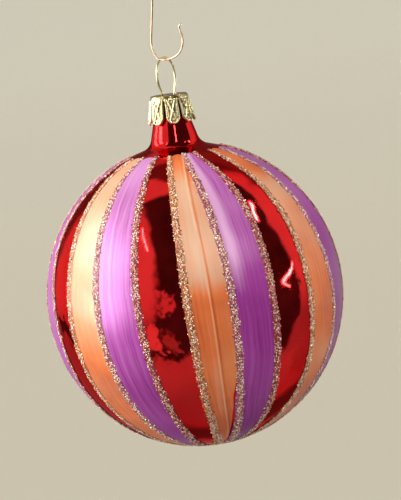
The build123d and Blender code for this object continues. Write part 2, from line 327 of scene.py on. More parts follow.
def studio_world():
    """An even pale room for diffuse light; gloss sees its panels, dark in front and pale around."""
    world = bpy.data.worlds.new("studio")
    scene.world = world
    world.use_nodes = True
    t = world.node_tree
    bg = t.nodes["Background"]

    def new(kind, **sets):
        n = t.nodes.new(kind)
        for k, v in sets.items():
            setattr(n, k, v)
        return n

    def op(kind, a, b=0.0, c=None):
        m = new("ShaderNodeMath", operation=kind)
        for i, v in enumerate((a, b, c)):
            if v is None:
                continue
            if isinstance(v, (int, float)):
                m.inputs[i].default_value = v
            else:
                t.links.new(v, m.inputs[i])
        return m.outputs[0]

    tc = new("ShaderNodeTexCoord")
    sep = new("ShaderNodeSeparateXYZ")
    t.links.new(tc.outputs["Generated"], sep.inputs[0])
    x, y, z = sep.outputs
    az = op("MULTIPLY", op("ARCTAN2", x, op("MULTIPLY", y, -1.0)), 57.29578)
    el = op("MULTIPLY", op("ARCSINE", z), 57.29578)
    wob = new("ShaderNodeTexNoise")
    wob.inputs["Scale"].default_value = 4.0
    wob.inputs["Detail"].default_value = 4.0
    t.links.new(tc.outputs["Generated"], wob.inputs["Vector"])
    rag = op("MULTIPLY", op("SUBTRACT", wob.outputs["Fac"], 0.5), 26.0)
    fine = new("ShaderNodeTexNoise")
    fine.inputs["Scale"].default_value = 15.0
    fine.inputs["Detail"].default_value = 3.0
    t.links.new(tc.outputs["Generated"], fine.inputs["Vector"])
    low_half = op("SUBTRACT", 1.0, op("MAXIMUM", op("MINIMUM", op("MULTIPLY", op("SUBTRACT", el, 6.0), 0.08), 1.0), 0.0))
    rag = op("ADD", rag, op("MULTIPLY", op("MULTIPLY", op("SUBTRACT", fine.outputs["Fac"], 0.5), 17.0), low_half))
    az_r, el_r = op("ADD", az, rag), op("SUBTRACT", el, rag)

    def step(v, at, soft):
        m = new("ShaderNodeMapRange", interpolation_type="SMOOTHSTEP")
        m.inputs["From Min"].default_value = at - soft
        m.inputs["From Max"].default_value = at + soft
        t.links.new(v, m.inputs["Value"])
        return m.outputs["Result"]

    def box(a0, a1, e0, e1, soft=3.0, ragged=False):
        a, e = (az_r, el_r) if ragged else (az, el)
        m = op("MULTIPLY", step(a, a0, soft), op("SUBTRACT", 1.0, step(a, a1, soft)))
        m2 = op("MULTIPLY", step(e, e0, soft), op("SUBTRACT", 1.0, step(e, e1, soft)))
        return op("MULTIPLY", m, m2)

    def over(level, mask, value):
        return op("ADD", op("MULTIPLY", level, op("SUBTRACT", 1.0, mask)),
                  op("MULTIPLY", mask, value))

    def outside(v, at, soft):
        return op("SUBTRACT", 1.0, step(v, at, soft))

    fwd = op("ADD", op("MULTIPLY", y, -1.0), op("MULTIPLY", rag, 0.004))
    left = op("ADD", op("ADD", x, 0.53), op("ADD", op("MULTIPLY", z, -0.145), op("MULTIPLY", rag, 0.006)))
    high = op("MULTIPLY", op("MAXIMUM", op("SUBTRACT", z, 0.58), 0.0), step(x, 0.15, 0.15))
    fwd = op("ADD", fwd, op("ADD", op("MULTIPLY", high, 1.05), op("MULTIPLY", outside(el, -20.0, 5.0), -0.09)))
    waist = op("MULTIPLY", op("SUBTRACT", step(el_r, -2.0, 5.0), step(el_r, 36.0, 5.0)), step(x, 0.15, 0.15))
    fwd = op("SUBTRACT", fwd, op("MULTIPLY", waist, 0.05))
    level = over(0.88, outside(el, -8.0, 9.0), 0.42)
    rear = op("ADD", step(op("SUBTRACT", az_r, op("MULTIPLY", step(el, 39.0, 4.0), 10.0)), 128.0, 8.0), outside(az_r, -143.0, 6.0))
    lit = op("MULTIPLY", op("MULTIPLY", step(el, 29.0, 5.0), outside(el_r, 55.0, 4.0)), outside(az, -100.0, 5.0))
    level = over(level, op("MULTIPLY", rear, step(el, -2.0, 8.0)), over(0.17, lit, 0.62))
    level = over(level, box(122, 170, 38, 47, 3.0, True), 0.26)
    front = op("MULTIPLY", op("MULTIPLY", step(fwd, 0.01, 0.035), step(left, 0.0, 0.045)), step(el_r, -39.0, 3.5))
    level = over(level, front, op("ADD", 0.015, op("MULTIPLY", wob.outputs["Fac"], 0.10)))
    level = over(level, box(-43, -33, -31, -13, 2.0, True), 0.95)
    level = over(level, box(-29, -21, -32, -21, 2.0, True), 0.42)
    level = over(level, box(-31, -18, -7, 9, 2.5, True), 0.80)
    level = over(level, box(-134, -121, -15, -8, 1.5, True), 0.07)
    floor_level = over(0.56, outside(el, -62.0, 14.0), 0.38)
    floor_level = over(floor_level, op("MULTIPLY", rear, step(el, -66.0, 6.0)), 0.12)
    level = over(level, outside(el_r, -40.0, 3.5), floor_level)

    def streak(a0, e0, a1, e1, half, value):
        """A thin bright slit of the room between two directions."""
        nonlocal level
        length = math.hypot(a1 - a0, e1 - e0)
        ux, uy = (a1 - a0) / length, (e1 - e0) / length
        da, de = op("SUBTRACT", az_s, a0), op("SUBTRACT", el_s, e0)
        along = op("ADD", op("MULTIPLY", da, ux), op("MULTIPLY", de, uy))
        across = op("ABSOLUTE", op("SUBTRACT", op("MULTIPLY", de, ux), op("MULTIPLY", da, uy)))
        m = op("MULTIPLY", op("MULTIPLY", step(along, 0.0, 1.0), outside(along, length, 1.0)),
               outside(across, half, 0.6))
        level = over(level, m, value)

    az_s, el_s = op("ADD", az, op("MULTIPLY", rag, 0.18)), op("SUBTRACT", el, op("MULTIPLY", rag, 0.18))
    streak(-56, 54, -41, 39, 0.5, 26.0)
    streak(95, 49, 79, 41, 1.1, 44.0)
    streak(86, 9, 73, 1, 0.7, 40.0)
    streak(72, 1, 79, -2, 0.3, 28.0)
    streak(62, 46, 65, 57, 1.0, 9.0)
    lp = new("ShaderNodeLightPath")
    diffuse = over(0.60, op("SUBTRACT", 1.0, step(el, 0.0, 40.0)), 0.40)
    final = over(diffuse, lp.outputs["Is Glossy Ray"], level)
    comb = new("ShaderNodeCombineColor")
    t.links.new(final, comb.inputs[0])
    t.links.new(op("MULTIPLY", final, 0.97), comb.inputs[1])
    t.links.new(op("MULTIPLY", final, 0.92), comb.inputs[2])
    t.links.new(comb.outputs[0], bg.inputs["Color"])


studio_world()


# ------------------------------------------------- outline of glass and coats
def fillet(points, radii, step=0.12):
    """A polyline with its inner corners rounded, as points about step apart."""
    pts = [np.array(p, float) for p in points]
    out = [pts[0]]
    for i, r in enumerate(radii, start=1):
        p, a, b = pts[i], pts[i - 1] - pts[i], pts[i + 1] - pts[i]
        a, b = a / np.linalg.norm(a), b / np.linalg.norm(b)
        half = math.acos(np.clip(a @ b, -1, 1)) / 2
        d = r / math.tan(half)
        c = p + (a + b) / np.linalg.norm(a + b) * r / math.sin(half)
        s, e = p + a * d - c, p + b * d - c
        t0, t1 = math.atan2(s[1], s[0]), math.atan2(e[1], e[0])
        turn = (t1 - t0 + math.pi) % (2 * math.pi) - math.pi
        n = max(6, int(abs(turn) * r / step))
        for k in range(n + 1):
            t = t0 + turn * k / n
            out.append(c + r * np.array([math.cos(t), math.sin(t)]))
    out.append(pts[-1])
    full = [out[0]]
    for q in out[1:]:
        gap = np.linalg.norm(q - full[-1])
        if gap < 1e-4:
            continue
        n = max(1, int(gap / 0.4))
        start = full[-1]
        for k in range(1, n + 1):
            full.append(start + (q - start) * k / n)
    return full


def outline(d, top_h):
    """(r, z) of a surface moved inward by d, from its top rim down to the lower pole."""
    a, b = A - d, B - d
    join_r = 11.5 * a / A
    join_h = b * math.sqrt(1 - (join_r / a) ** 2)
    slope = -((b / a) ** 2) * join_r / join_h
    taper, flare, foot_h, rim_h = 0.03, 0.275, 48.8, 54.3
    neck_0 = 4.5 - d * math.sqrt(1 + taper**2) + rim_h * taper
    foot_r = 4.5 + (rim_h - foot_h) * taper
    flare_0 = foot_r - d * math.sqrt(1 + flare**2) + foot_h * flare
    h_foot = (flare_0 - neck_0) / (flare - taper)
    h_crease = (join_h + slope * (flare_0 - join_r)) / (1 + slope * flare)
    pts = fillet(
        [(neck_0 - top_h * taper, top_h), (neck_0 - h_foot * taper, h_foot),
         (flare_0 - h_crease * flare, h_crease), (join_r, join_h)],
        [8.0 + d, 3.6 + d],
    )
    start = math.acos(join_r / a)
    for t in np.linspace(start, -math.pi / 2, 260)[1:]:
        pts.append(np.array([a * math.cos(t), b * math.sin(t)]))
    pts[-1][0] = 0.0
    return np.array(pts)


def lathe(name, outer, inner, seg, mats):
    """A closed shell of revolution between two profiles that share their top rim and run to the lower pole."""
    ang = np.arange(seg) * 2 * np.pi / seg
    s, c = np.sin(ang), -np.cos(ang)
    verts, groups, base = [], [], 0
    uvs = []
    ends = []
    for prof, flip in ((outer, False), (inner, True)):
        rows = prof[:-1]
        v = np.stack([rows[:, 0:1] * s, rows[:, 0:1] * c,
                      np.repeat(rows[:, 1:2] + BALL_Z, seg, 1)], -1).reshape(-1, 3)
        along = np.concatenate([[0], np.cumsum(np.linalg.norm(np.diff(rows, axis=0), axis=1))])
        uvs.append(np.stack([np.tile(ang / (2 * np.pi), len(rows)), np.repeat(along / 130.0, seg)], -1))
        verts.append(v)
        groups.append(grid_quads(len(rows), seg, wrap=True, flip=not flip, base=base))
        pole = base + len(v)
        verts.append(np.array([[0, 0, prof[-1, 1] + BALL_Z]]))
        uvs.append(np.array([[0.5, 1.0]]))
        last = base + (len(rows) - 1) * seg + np.arange(seg)
        nxt = np.roll(last, -1)
        fan = np.stack([np.full(seg, pole), last, nxt], -1)
        groups.append(fan[:, ::-1].copy() if flip else fan)
        ends.append(base + np.arange(seg))
        base = pole + 1
    o, i = ends
    groups.append(np.stack([o, i, np.roll(i, -1), np.roll(o, -1)], -1)[:, ::-1].copy())
    ob = mesh_object(name, np.vstack(verts), groups, True, mats, uv=np.vstack(uvs))
    return ob


# ------------------------------------------------------------- red mirror coat
def red_material():
    n = Nodes("red_mirror_lacquer")
    n.put(metal=1.0, rough=0.05, coat=0.16, coat_rough=0.02, ior=1.5)
    n.bsdf.inputs["Specular Tint"].default_value = (0.90, 0.22, 0.22, 1.0)
    obj = n.coords("Object")
    dye = n.noise(obj, 70.0, 4.0, 0.55)
    color = n.ramp(dye, [(0.25, (0.68, 0.010, 0.012)), (0.75, (0.84, 0.022, 0.022))])
    speck = n.noise(obj, 2400.0, 2.0, 0.5)
    dots = n.remap(speck, 0.73, 0.76, 0.0, 1.0)
    n.to(n.mix(dots, color, (0.25, 0.004, 0.006)), "Base Color")
    smear = n.noise(obj, 160.0, 5.0, 0.6)
    n.to(n.remap(smear, 0.3, 0.75, 0.025, 0.085), "Roughness")
    sag = n.noise(obj, 95.0, 2.0, 0.45)
    peel = n.noise(obj, 900.0, 2.0, 0.5)
    nb = n.bump(sag, 1.0, 0.00016)
    n.to(n.bump(peel, 1.0, 0.0000022, nb), "Normal")
    return n.mat


out_p, in_p = outline(-0.08, 52.0), outline(-0.02, 52.0)
lacquer = lathe("red_lacquer_skin", out_p, in_p, 512, [red_material()])
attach(lacquer, "ball")
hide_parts("red_lacquer")

# ---------------------------------------------------------- border lines' run
FRONT = [
    ([-8.55, -27.8, -13.5, 9.56, -69.75], 33, 115),
    ([1.54, 1.44, -3.12, 2.12, -56.24], 25, 146),
    ([-0.59, 1.16, 0.92, 2.41, -40.13], 21, 149),
    ([-1.6, 0.14, 2.89, 2.53, -22.28], 21, 145),
    ([-0.45, 2.43, 1.28, 1.53, -3.17], 21, 155),
    ([0.7, 2.84, -1.05, 1.45, 13.81], 30, 159),
    ([-4.89, 2.95, 4.31, 1.23, 30.22], 22, 150),
    ([-7.32, -1.05, 4.83, 2.57, 48.82], 28, 152),
    ([-11.9, -9.89, 4.72, 6.74, 65.43], 26, 125),
]
CAD_LINES = [-72.0, -57.1, -40.2, -22.1, -3.1, 13.6, 30.4, 48.9, 65.1]
STEP = (360.0 + CAD_LINES[0] - CAD_LINES[-1]) / 13


def line_azimuth(i):
    """Azimuth in degrees of border line i as a function of the polar angle from the top."""
    if i < 9:
        co, lo, hi = FRONT[i]
        if i in (0, 8):  # seen only edge-on: keep the measured middle, fade out its ends
            mean = CAD_LINES[i]

            def f(th):
                t = np.clip(th, lo, hi)
                v = np.polyval(co, (t - 90) / 60)
                return np.clip(v, mean - 4.0, mean + 3.0)
        else:

            def f(th):
                return np.polyval(co, (np.clip(th, lo, hi) - 90) / 60)
        return f
    mean = CAD_LINES[-1] + STEP * (i - 8)
    g = np.random.default_rng(900 + i)
    a, p, tilt = g.uniform(0.5, 1.6), g.uniform(0, 6.28), g.uniform(-1.6, 1.6)

    def f(th):
        x = (np.asarray(th, float) - 90) / 60
        return mean + a * np.sin(2.1 * x + p) + tilt * x

    return f


LINES = [line_azimuth(i) for i in range(21)]


def surface(th, phi, lift):
    """Point on the ball, th and phi in degrees, lift in mm above the glass."""
    t, p = np.radians(th), np.radians(phi)
    a, b = A + lift, B + lift
    r = a * np.sin(t)
    return np.stack([r * np.sin(p), -r * np.cos(p), BALL_Z + b * np.cos(t)], -1)


def rho(th):
    return A * np.sin(np.radians(th))


TH_TOP = math.degrees(math.asin(12.4 / 40.06))
TH_FOOT = 180.0 - math.degrees(math.asin(2.6 / 40.06))


# --------------------------------------------------------------- painted bands
def paint_material(name, dark, mid, light, pale, cloudy):
    n = Nodes(name)
    n.put(metal=0.08, rough=0.36, ior=1.38, coat=0.12, coat_rough=0.24)
    flow = n.uv((16.0, 0.9, 1.0))
    fine = n.uv((70.0, 2.2, 1.0))
    broad = n.noise(flow, 1.0, 4.0, 0.6, 0.2)
    thin = n.noise(fine, 1.0, 3.0, 0.6)
    cloud = n.noise(n.coords("Object"), 55.0, 3.0, 0.5)
    mixv = n.math("ADD", n.math("MULTIPLY", broad, 0.68 - cloudy),
                  n.math("ADD", n.math("MULTIPLY", thin, 0.32 - 0.3 * cloudy), n.math("MULTIPLY", cloud, 1.3 * cloudy)))
    color = n.ramp(mixv, [(0.34, dark), (0.50, mid), (0.66, light)])
    # tone mixes towards the pale colour where positive and towards the dark one where negative; besides the paint's own
    # brush streaks and blots it carries painted light and shade, set per band
    tone = n.attr("tone")
    color = n.mix(n.remap(tone, 0.0, 1.0, 0.0, 0.9), color, pale)
    color = n.mix(n.remap(tone, 0.0, -1.0, 0.0, 0.8), color, dark)
    n.to(color, "Base Color")
    n.to(n.remap(broad, 0.3, 0.7, 0.30, 0.43), "Roughness")
    n.to(n.bump(thin, 0.8, 0.00003, n.bump(broad, 0.8, 0.00006)), "Normal")
    return n.mat


orange_mat = paint_material(
    "orange_pearl_paint", (0.54, 0.085, 0.018), (0.83, 0.20, 0.052), (0.88, 0.31, 0.12), (0.76, 0.48, 0.31), 0.45)
purple_mat = paint_material(
    "purple_pearl_paint", (0.22, 0.014, 0.18), (0.40, 0.045, 0.35), (0.52, 0.11, 0.49), (0.78, 0.42, 0.70), 0.20)


def band(name, k, mat):
    """One painted gore between border lines k and k+1: a thin closed shell with brush relief."""
    f0 = LINES[k]
    f1 = LINES[(k + 1) % 21]
    turn = 360.0 if k == 20 else 0.0
    rows = 230
    s = np.linspace(0, 1, rows)
    th = TH_TOP + (TH_FOOT - TH_TOP) * s
    edge0, edge1 = waves(50 + k, 7, 0.15, 1.1), waves(80 + k, 7, 0.15, 1.1)
    arc = np.radians(th) * 40.5
    r = rho(th)
    gap0 = 0.16 + 0.14 * edge0(arc)
    gap1 = 0.16 + 0.14 * edge1(arc)
    if k == 5:  # and the purple runs in under the line to meet it
        q = np.clip((th - 108) / 20, 0, 1)
        gap0 = gap0 - 1.50 * q * q * (3 - 2 * q) * np.clip(r / 14, 0, 1)
    if k == 4:  # the paint stops short of its right border in the lower half
        q = np.clip((th - 108) / 20, 0, 1)
        gap1 = gap1 + 1.75 * q * q * (3 - 2 * q) * np.clip(r / 14, 0, 1)
    left = f0(th) + np.degrees(gap0 / r)
    right = f1(th) + turn - np.degrees(gap1 / r)
    # rounded ends: the tips draw in towards the middle of the band
    mid = (left + right) / 2
    ends = np.minimum(np.clip((th - TH_TOP) / 4.5, 0, 1), np.clip((TH_FOOT - th) / 3.0, 0, 1))
    pinch = 0.22 + 0.78 * np.sqrt(np.clip(1 - (1 - ends) ** 2, 0, 1))
    left, right = mid + (left - mid) * pinch, mid + (right - mid) * pinch
    u = np.concatenate([[0, 0.004, 0.012, 0.03, 0.06], np.linspace(0.09, 0.91, 44), [0.94, 0.97, 0.988, 0.996, 1]])
    U, TH = np.meshgrid(u, th)
    PHI = left[:, None] + (right - left)[:, None] * U
    W = np.radians(right - left)[:, None] * r[:, None]
    dist = np.minimum(U, 1 - U) * W
    rim = np.sqrt(np.clip(1 - (1 - np.clip(dist / 0.5, 0, 1)) ** 2, 0, 1))
    end_rim = np.sqrt(np.clip(1 - (1 - np.clip(np.minimum(arc - arc[0], arc[-1] - arc) / 0.6, 0, 1)) ** 2, 0, 1))[:, None]
    brush_a, brush_b, brush_c = waves(110 + k, 9, 20, 90), waves(140 + k, 5, 0.05, 0.25), waves(170 + k, 6, 8, 30)
    along = arc[:, None]
    orange = k % 3 == 1
    relief = (0.007 if orange else 0.011) * brush_a(U + 0.012 * brush_b(along)) + 0.014 * brush_c(U + 0.02 * brush_b(along + 9))
    relief = relief * (0.75 + 0.35 * brush_b(along * 0.9 + 3))
    if k == 4:  # a thick run of paint down the middle
        frac = np.interp(th, [20, 27, 39, 49, 60, 115, 130, 150], [0.80, 0.74, 0.60, 0.535, 0.51, 0.51, 0.52, 0.58])
        at = ((f0(th) + frac * (f1(th) - f0(th)) - left) / (right - left))[:, None]
        relief = relief + 0.13 * np.exp(-(((U - at) * W) / 0.34) ** 2) * np.clip((TH - 22) / 15, 0, 1)
        relief = relief - 0.035 * np.exp(-(((U - at) * W - 0.75) / 0.35) ** 2) * np.clip((TH - 22) / 15, 0, 1)
    thick = (0.052 + 0.9 * relief + 0.012) * np.minimum(rim, end_rim)
    thick = np.clip(thick, 0.002, 0.26)
    # tone: the brush streaks and blots are the paint's own; the first term here is painted light, paler towards the
    # top, and the next line is painted shade, darker towards the bottom
    tone = 0.24 * np.clip((104 - TH) / 65, 0, 1) + (0.17 if orange else 0.34) * brush_a(U + 0.012 * brush_b(along)) * (0.6 + 0.5 * brush_b(along * 0.7))
    tone = tone - 0.30 * np.clip((TH - 118) / 40, 0, 1)
    blot_a, blot_b = waves(210 + k, 6, 0.12, 0.55), waves(240 + k, 5, 1.5, 6.0)
    tone = tone + (0.26 if orange else 0.12) * blot_a(along + 2.5 * blot_b(U * 0.7)) * (0.7 + 0.5 * blot_b(U + 1.3))
    # painted light on orange band 1: paler at the top, and a lighter belt lower down
    if k == 1:
        tone = tone + 0.50 * np.clip((76 - TH) / 20, 0, 1)
        tone = tone + 0.12 * np.clip((TH - 96) / 16, 0, 1) * np.clip((130 - TH) / 16, 0, 1)
    # painted shade: purple band 3 darker over its lower part
    if k == 8:
        tone = tone - 0.45 * np.clip((TH - 58) / 20, 0, 1)
    # painted light: purple band 1 paler at the top
    if k == 2:
        tone = tone + 0.30 * np.clip((58 - TH) / 22, 0, 1)
    # painted shade: the other orange bands darker at the very top, near the neck
    if orange and k != 1:
        tone = tone - 0.42 * np.clip((46 - TH) / 18, 0, 1)
    # painted light: orange band 3 paler in its upper middle
    if k == 7:
        tone = tone + 0.34 * np.clip((76 - TH) / 15, 0, 1) * np.clip((TH - 34) / 14, 0, 1)
    # painted light and shade on orange band 2: a painted highlight along the ridge of paint with a painted shadow line
    # on its right and a painted glow on its left, a paler upper part painted as light from above, and painted shade
    # under it
    if k == 4:
        tone = tone + 1.0 * np.exp(-(((U - at) * W) / 0.24) ** 2) - 0.75 * np.exp(-(((U - at) * W - 0.55) / 0.30) ** 2)
        tone = tone + 0.35 * np.exp(-(((U - at) * W + 1.3) / 0.8) ** 2)
        upper = np.clip((87 + 1.5 * edge1(U * 9) - TH) / 9, 0, 1)
        tone = tone + 0.74 * upper * np.clip((TH - 27) / 14 + 0.9 * (0.45 - U), 0, 1) - 0.10
        tone = tone - 0.25 * np.clip((110 - TH) / 14, 0, 1) * (1 - upper)
    # painted highlight: a pale streak down the left of purple band 2 in its upper part; painted shade over its lower
    # part
    if k == 5:
        tone = tone + 0.95 * np.exp(-((U - 0.22) / 0.16) ** 2) * np.clip((90 - TH) / 20, 0, 1) - 0.34 * np.clip((TH - 74) / 18, 0, 1)
    tone = np.clip(tone, -1, 1)
    top = surface(TH, PHI, 0.10 + thick).reshape(-1, 3)
    low = surface(TH, PHI, np.full_like(thick, 0.10)).reshape(-1, 3)
    n, m = len(th), len(u)
    uv = np.stack([(U * W / 10.0).ravel(), np.broadcast_to(along / 40.0, U.shape).ravel() + 3.7 * k], -1)
    g = [grid_quads(n, m, flip=True), grid_quads(n, m, base=n * m)]
    idx = np.arange(n * m).reshape(n, m)
    for edge, flip in ((idx[0], False), (idx[-1], True), (idx[:, 0], True), (idx[:, -1], False)):
        q = np.stack([edge[:-1], edge[1:], edge[1:] + n * m, edge[:-1] + n * m], -1)
        g.append(q if flip is False else q[:, ::-1].copy())
    ob = mesh_object(name, np.vstack([top, low]), g, True, [mat], uv=np.vstack([uv, uv]))
    layer = ob.data.attributes.new("tone", "FLOAT", "POINT")
    layer.data.foreach_set("value", np.tile(tone.ravel(), 2).astype(np.float32))
    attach(ob, "ball")
    return ob


orange_objs = [band(f"orange_band_{i + 1}", k, orange_mat)
               for i, k in enumerate(range(1, 21, 3))]
purple_objs = [band(f"purple_band_{i + 1}", k, purple_mat)
               for i, k in enumerate(range(2, 21, 3))]
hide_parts("orange_bands")
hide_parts("purple_bands")

# the broad satin sheen falls on the paint alone; the mirror coat keeps its own sharp panels
painted = bpy.data.collections.new("painted")
for ob in orange_objs + purple_objs:
    painted.objects.link(ob)
sheen.light_linking.receiver_collection = painted
satin = bpy.data.collections.new("satin")
for ob in orange_objs + purple_objs:
    satin.objects.link(ob)
strip_right.light_linking.receiver_collection = satin


# --------------------------------------------------------------- glitter lines
def flake_material(name, color, rough, metal=0.62):
    n = Nodes(name)
    n.put(base=color, metal=metal, rough=rough, coat=0.4, coat_rough=0.08)
    n.to(n.bump(n.noise(n.coords("Object"), 5200.0, 2.0), 0.4, 0.00001), "Normal")
    n.to(n.remap(n.noise(n.coords("Object"), 1900.0, 2.0), 0.3, 0.7, rough * 0.6, rough * 1.5), "Roughness")
    return n.mat


def glue_material(name, color):
    n = Nodes(name)
    n.put(rough=0.35, metal=0.0, base=color, coat=0.3, coat_rough=0.15)
    n.to(n.bump(n.noise(n.coords("Object"), 2600.0, 3.0), 1.0, 0.00008), "Normal")
    return n.mat


# clear glue shows what lies under it: red and orange, orange and purple, or purple and red
GLITTER = [
    glue_material("glitter_glue_purple_red", (0.30, 0.018, 0.035)),
    glue_material("glitter_glue_red_orange", (0.46, 0.11, 0.026)),
    glue_material("glitter_glue_orange_purple", (0.37, 0.075, 0.15)),
    flake_material("flake_white", (1.0, 0.95, 0.88), 0.22, 0.25),
    flake_material("flake_champagne", (1.0, 0.76, 0.51), 0.24, 0.30),
    flake_material("flake_gold", (1.0, 0.62, 0.22), 0.20, 0.45),
    flake_material("flake_rose", (0.98, 0.44, 0.40), 0.22, 0.40),
    flake_material("flake_bronze", (0.50, 0.20, 0.075), 0.18, 0.8),
    flake_material("flake_brown", (0.17, 0.045, 0.022), 0.20, 0.5),
]
MIXES = [
    (0.17, 0.19, 0.04, 0.26, 0.16, 0.18),
    (0.24, 0.26, 0.24, 0.04, 0.12, 0.10),
    (0.26, 0.26, 0.11, 0.16, 0.11, 0.10),
]
OCT = np.array([[1, 0, 0], [-1, 0, 0], [0, 1, 0], [0, -1, 0], [0, 0, 1], [0, 0, -1]], float)
OCT_F = np.array([[0, 2, 4], [2, 1, 4], [1, 3, 4], [3, 0, 4], [2, 0, 5], [1, 2, 5], [3, 1, 5], [0, 3, 5]])


LOW, HIGH = (np.array(v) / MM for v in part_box("glitter_lines"))


def glitter_line(i, front):
    g = np.random.default_rng(3000 + i)
    f = LINES[i]
    th0 = math.degrees(math.asin(12.4 / 40.3)) + g.uniform(0.0, 1.4)
    th1 = 180.0 - math.degrees(math.asin(2.4 / 40.3))
    w_wave, w_wave2, sway = waves(400 + i, 8, 0.2, 2.6), waves(430 + i, 5, 0.05, 0.3), waves(460 + i, 6, 0.1, 0.9)

    def half(th):
        arc = np.radians(th) * 40.5
        r = rho(th)
        w = 0.98 * (1 + 0.13 * w_wave(arc) + 0.10 * w_wave2(arc))
        w = w * np.clip(0.62 + 0.38 * (th - 18) / 30, 0.62, 1.0)
        narrow = np.clip((r - 2.1) / 6.5, 0, 1) * 0.78 + 0.22
        w = w * np.where(th > 90, narrow, 1.0)
        return np.minimum(w, 0.105 * r + 0.04)

    def centre(th):
        arc = np.radians(th) * 40.5
        return f(th) + np.degrees(0.10 * sway(arc) / rho(th))

    # the bead of glue under the flakes
    n, m = 260, 13
    th = np.linspace(th0, th1, n)
    s = np.linspace(-1, 1, m)
    S, TH = np.meshgrid(s, th)
    hw = half(th)[:, None]
    PHI = centre(th)[:, None] + np.degrees(S * hw / rho(th)[:, None])
    crown = np.sqrt(np.clip(1 - S**2, 0, 1))
    endr = np.clip(np.minimum(np.arange(n), n - 1 - np.arange(n)) / 4.0, 0, 1)[:, None]
    lump = g.normal(0, 1, (n, m)) * 0.25
    H = 0.19 + (0.085 * crown * (1 + lump)) * (0.3 + 0.7 * endr)
    H = np.clip(H, 0.185, 0.30)
    top = surface(TH, PHI, H).reshape(-1, 3)
    low = surface(TH, PHI, np.full_like(H, 0.18)).reshape(-1, 3)
    faces4 = [grid_quads(n, m, flip=True), grid_quads(n, m, base=n * m)]
    idx = np.arange(n * m).reshape(n, m)
    for edge, flip in ((idx[0], False), (idx[-1], True), (idx[:, 0], True), (idx[:, -1], False)):
        q = np.stack([edge[:-1], edge[1:], edge[1:] + n * m, edge[:-1] + n * m], -1)
        faces4.append(q if flip is False else q[:, ::-1].copy())
    quads = np.vstack(faces4)
    # the flakes
    count = 2100 if front else 1500
    tf = np.radians(g.uniform(th0, th1, count * 2))
    keep = g.uniform(0, 1, count * 2) < np.clip(half(np.degrees(tf)) / 0.85, 0.12, 1)
    tf = np.degrees(tf[keep][:count])
    count = len(tf)
    sf = np.clip(g.normal(0, 0.58, count), -1.16, 1.16)
    hwf = half(tf)
    pf = centre(tf) + np.degrees(sf * hwf / rho(tf))
    size = np.clip(g.lognormal(math.log(0.215), 0.26, count), 0.11, 0.31)
    if not front:
        size = size * 1.12
    lift = 0.20 + 0.10 * np.sqrt(np.clip(1 - sf**2, 0, 1)) + g.uniform(0.0, 0.08, count)
    lift = np.minimum(lift, 0.50 - size * 0.75)
    c = surface(tf, pf, lift)
    # local frame, then a tilt away from the surface
    t, p = np.radians(tf), np.radians(pf)
    nrm = np.stack([np.sin(t) * np.sin(p) / A, -np.sin(t) * np.cos(p) / A, np.cos(t) / B], -1)
    nrm /= np.linalg.norm(nrm, axis=1)[:, None]
    q = nrm + g.normal(0, 0.62, (count, 3))
    q /= np.linalg.norm(q, axis=1)[:, None]
    r1 = np.cross(q, g.normal(0, 1, (count, 3)))
    r1 /= np.linalg.norm(r1, axis=1)[:, None]
    r2 = np.cross(q, r1)
    long_, wide, flat = size * g.uniform(0.85, 1.25, count), size * g.uniform(0.65, 1.05, count), size * g.uniform(0.14, 0.42, count)
    # the limit on height holds for the tips too
    fv = (OCT[None, :, 0:1] * (r1 * long_[:, None])[:, None, :]
          + OCT[None, :, 1:2] * (r2 * wide[:, None])[:, None, :]
          + OCT[None, :, 2:3] * (q * flat[:, None])[:, None, :])
    fverts = (c[:, None, :] + fv).reshape(-1, 3)
    # keep the tips inside the line's room: no more than 0.51 above the glass, no less than 0.17
    rel = fverts - np.array([0, 0, BALL_Z])
    rr = np.sqrt((rel[:, 0] ** 2 + rel[:, 1] ** 2) / A**2 + rel[:, 2] ** 2 / B**2)
    lo_k, hi_k = 1 + 0.172 / 40.5, 1 + 0.50 / 41.1
    k = np.clip(rr, lo_k, hi_k) / rr
    fverts = np.clip(rel * k[:, None] + np.array([0, 0, BALL_Z]), LOW + 0.01, HIGH - 0.01)
    base = 2 * n * m
    tris = (OCT_F[None] + (np.arange(count) * 6)[:, None, None]).reshape(-1, 3) + base
    kinds = g.choice(6, count, p=np.array(MIXES[i % 3])) + 3
    slots = np.concatenate([np.full(len(quads), i % 3), np.repeat(kinds, 8)])
    ob = mesh_object(f"glitter_line_{i + 1:02d}", np.vstack([top, low, fverts]), [quads, tris], False, GLITTER, slots)
    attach(ob, "ball")
    return ob


glitter_objs = [glitter_line(i, i < 9) for i in range(21)]
for ob in glitter_objs:
    satin.objects.link(ob)
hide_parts("glitter_lines")

# ------------------------------------------------------------------------ cap
CAP_TOP, CAP_R, CAP_FLARE, TAB_END, CAP_T = 54.65, 5.05, 0.142, 46.9, 0.23


def cap_gap(h):
    """Half the width of the gap between two tabs at height h, mm."""
    hs = [TAB_END, TAB_END + 0.15, TAB_END + 0.45, TAB_END + 0.9, TAB_END + 1.4, TAB_END + 2.0, CAP_TOP - 3.4, CAP_TOP - 1.5]
    return np.interp(h, hs, [1.85, 1.55, 1.15, 0.74, 0.44, 0.30, 0.20, 0.12])


